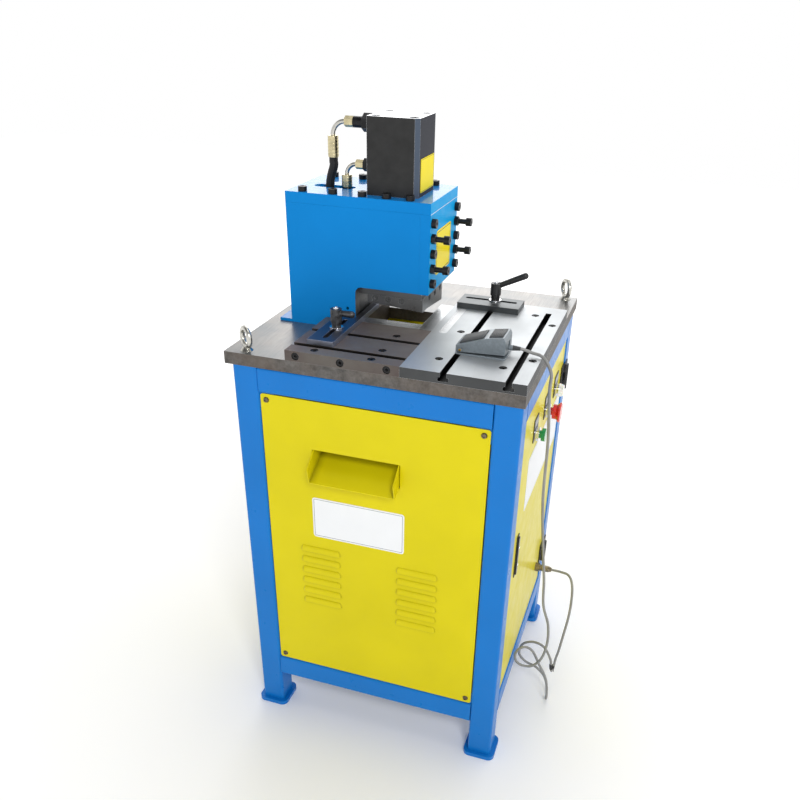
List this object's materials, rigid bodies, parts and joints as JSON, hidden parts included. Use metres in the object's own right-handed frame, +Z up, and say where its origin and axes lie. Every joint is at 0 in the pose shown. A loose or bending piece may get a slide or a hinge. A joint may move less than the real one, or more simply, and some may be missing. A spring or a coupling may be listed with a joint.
{
  "type": "corner notching machine",
  "caption": "Floor-standing hydraulic corner notcher: square head with raked right-angle blades over slotted tables, on a blue tube cabinet with yellow louvred panels and a waste chute.",
  "frame": {"origin": "middle of the machine's footprint on the floor, measured without the foot switch's cord", "axes": "+X to the machine's right along its front, +Y to the back, +Z up"},
  "size_m": [0.6824, 0.599, 1.282],
  "materials": {
    "blue_paint": "semi-gloss paint",
    "yellow_paint": "powder coat",
    "dark_steel": "ground steel, dulled by oil",
    "bright_steel": "ground",
    "black_oxide": "black oxide",
    "zinc": "zinc plated",
    "black_plastic": "moulded",
    "hose_rubber": "matte",
    "cord_jacket": "matte",
    "brass": "turned",
    "grey_metal": "satin paint",
    "pale_plastic": "gloss",
    "red_plastic": "gloss",
    "green_plastic": "gloss"
  },
  "bodies": {
    "machine": {"frame_legs": "blue_paint", "frame_top_rails": "blue_paint", "frame_bottom_rails": "blue_paint", "foot_plates": "blue_paint", "head_body": "blue_paint", "end_plate": "blue_paint", "top_cover": "blue_paint", "front_panel": "yellow_paint", "left_panel": "yellow_paint", "rear_panel": "yellow_paint", "waste_chute": "yellow_paint", "base_plate": "dark_steel", "left_table": "dark_steel", "hole_side_bar": "dark_steel", "right_table": "bright_steel", "lower_blade_front": "bright_steel", "lower_blade_right": "bright_steel", "throat_guide": "bright_steel", "panel_screws": "bright_steel", "table_screws": "black_oxide", "end_plate_bolts": "black_oxide", "jack_screws": "black_oxide", "jack_nuts": "black_oxide", "cover_screws": "black_oxide", "cylinder_block": "black_oxide", "cylinder_screws": "black_oxide", "hose_adapters": "black_oxide", "hinge_frame_leaves": "black_oxide", "hose_fittings": "zinc", "hose_tubes": "zinc", "left_clamp_bolt": "zinc", "eye_bolts": "zinc", "hoses": "hose_rubber", "foot_switch_cord": "cord_jacket", "foot_switch_base": "grey_metal", "floor_tray": "grey_metal", "power_unit": "grey_metal", "scale_strip": "pale_plastic", "electrics": "pale_plastic"},
    "ram": {"ram": "bright_steel", "piston_rod": "bright_steel", "upper_blade_front": "bright_steel", "upper_blade_right": "bright_steel", "blade_screws": "black_oxide"},
    "left_fence": {"left_fence": "dark_steel"},
    "left_lever": {"left_lever": "black_plastic"},
    "right_clamp": {"right_clamp_bolt": "zinc"},
    "right_stop": {"right_stop": "dark_steel"},
    "right_lever": {"right_lever": "black_plastic"},
    "pedal": {"foot_switch_pedal": "grey_metal"},
    "door": {"side_door": "yellow_paint", "hinge_door_leaves": "black_oxide", "latch_plate": "black_plastic", "legend_plates": "black_plastic", "operator_bodies": "bright_steel", "pilot_lamp": "pale_plastic", "cord_gland": "brass"},
    "latch": {"latch_handle": "black_plastic"},
    "start_button": {"start_button": "green_plastic"},
    "stop_button": {"stop_button": "red_plastic"}
  },
  "joints": [
    {"name": "ram_slide", "type": "slide", "parent": "machine", "child": "ram", "axis": [0, 0, -1], "range_m": [0, 0.038]},
    {"name": "left_fence_slide", "type": "slide", "parent": "machine", "child": "left_fence", "axis": [0, 1, 0], "range_m": [-0.044, 0.009]},
    {"name": "left_lever_turn", "type": "hinge", "parent": "machine", "child": "left_lever", "pos_m": [-0.125, -0.155, 0.94], "axis": [0, 0, 1], "range_deg": [-120, 60]},
    {"name": "right_clamp_slide", "type": "slide", "parent": "machine", "child": "right_clamp", "axis": [0, 1, 0], "range_m": [-0.188, 0]},
    {"name": "right_stop_slide", "type": "slide", "parent": "right_clamp", "child": "right_stop", "axis": [1, 0, 0], "range_m": [-0.034, 0.055]},
    {"name": "right_lever_turn", "type": "hinge", "parent": "right_clamp", "child": "right_lever", "pos_m": [0.1225, 0.1115, 0.94], "axis": [0, 0, 1], "range_deg": [-120, 60]},
    {"name": "pedal_press", "type": "hinge", "parent": "machine", "child": "pedal", "pos_m": [0.1265, -0.1495, 0.9185], "axis": [0, 1, 0], "range_deg": [0, 3], "stiffness_Nm_per_rad": 15, "springref_deg": -1.72},
    {"name": "door_swing", "type": "hinge", "parent": "machine", "child": "door", "pos_m": [0.2725, 0.23775, 0.48], "axis": [0, 0, 1], "range_deg": [0, 110], "deforming": ["foot_switch_cord"]},
    {"name": "latch_turn", "type": "hinge", "parent": "door", "child": "latch", "pos_m": [0.266, -0.1655, 0.487], "axis": [1, 0, 0], "range_deg": [0, 90]},
    {"name": "start_press", "type": "slide", "parent": "door", "child": "start_button", "axis": [-1, 0, 0], "range_m": [0, 0.004], "stiffness_N_per_m": 500, "springref_m": -0.002},
    {"name": "stop_press", "type": "slide", "parent": "door", "child": "stop_button", "axis": [-1, 0, 0], "range_m": [0, 0.006]}
  ]
}
